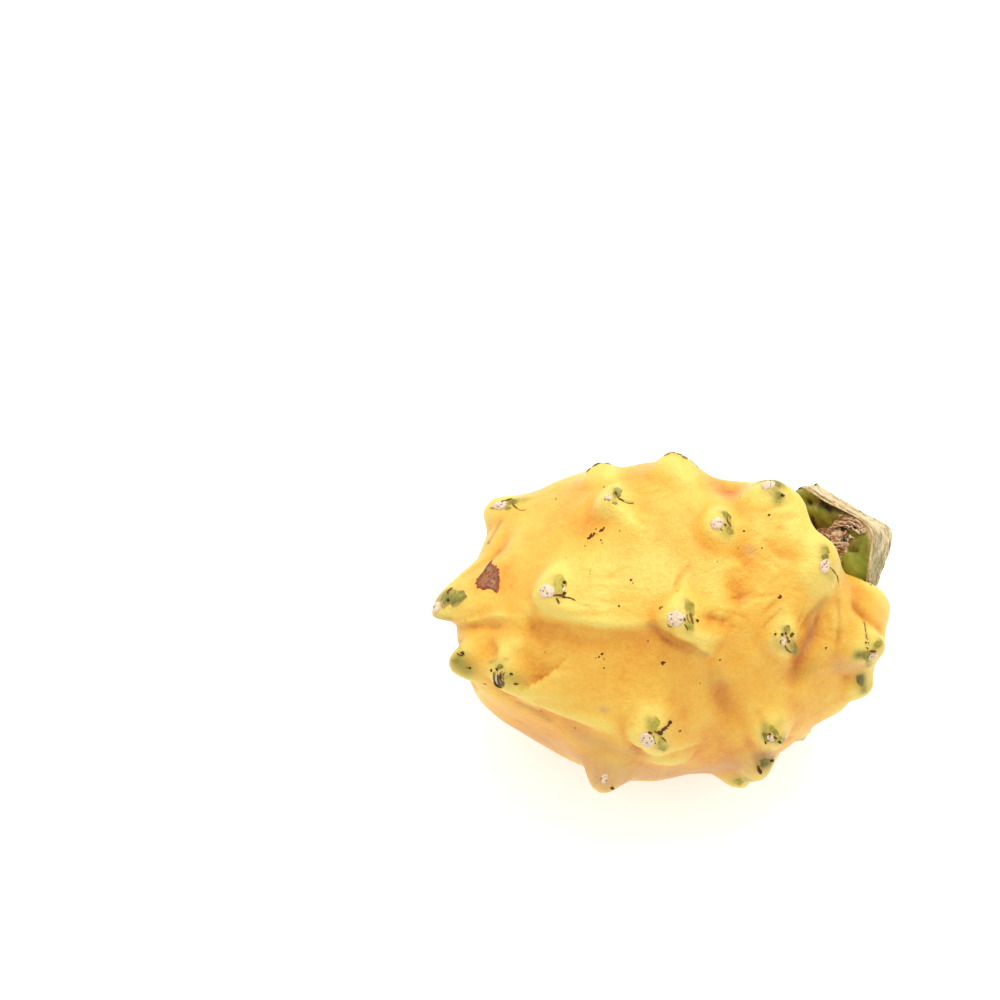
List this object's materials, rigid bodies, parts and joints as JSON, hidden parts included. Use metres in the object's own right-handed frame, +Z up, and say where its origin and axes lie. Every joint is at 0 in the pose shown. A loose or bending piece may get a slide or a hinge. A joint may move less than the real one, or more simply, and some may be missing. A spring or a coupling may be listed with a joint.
{
  "type": "dragon fruit",
  "caption": "Whole yellow dragon fruit lying on its side, with pointed tubercles, woody areoles and a cut wedge of cactus stem at one end.",
  "frame": {"origin": "centre of the base, on the surface that the fruit lies on", "axes": "+X along the fruit from the flower's scar to the stem, +Z up"},
  "size_m": [0.1168, 0.0874, 0.0864],
  "materials": {
    "rind": "waxy satin rind, yellow on the ridges and orange in the hollows",
    "areole": "matt cream corky pad with small pits",
    "bract": "small fleshy scale, green going brown and dry at its edge",
    "dry_flower": "dry reddish-brown scar and remnants",
    "stem_skin": "waxy dull green cactus skin with brown corky edges",
    "stem_cut": "dried cream-coloured cut face",
    "cork": "shredded pinkish-brown cork"
  },
  "bodies": {
    "root": {"fruit": "rind", "stem_piece": "stem_skin", "stem_neck": "cork"}
  },
  "joints": []
}
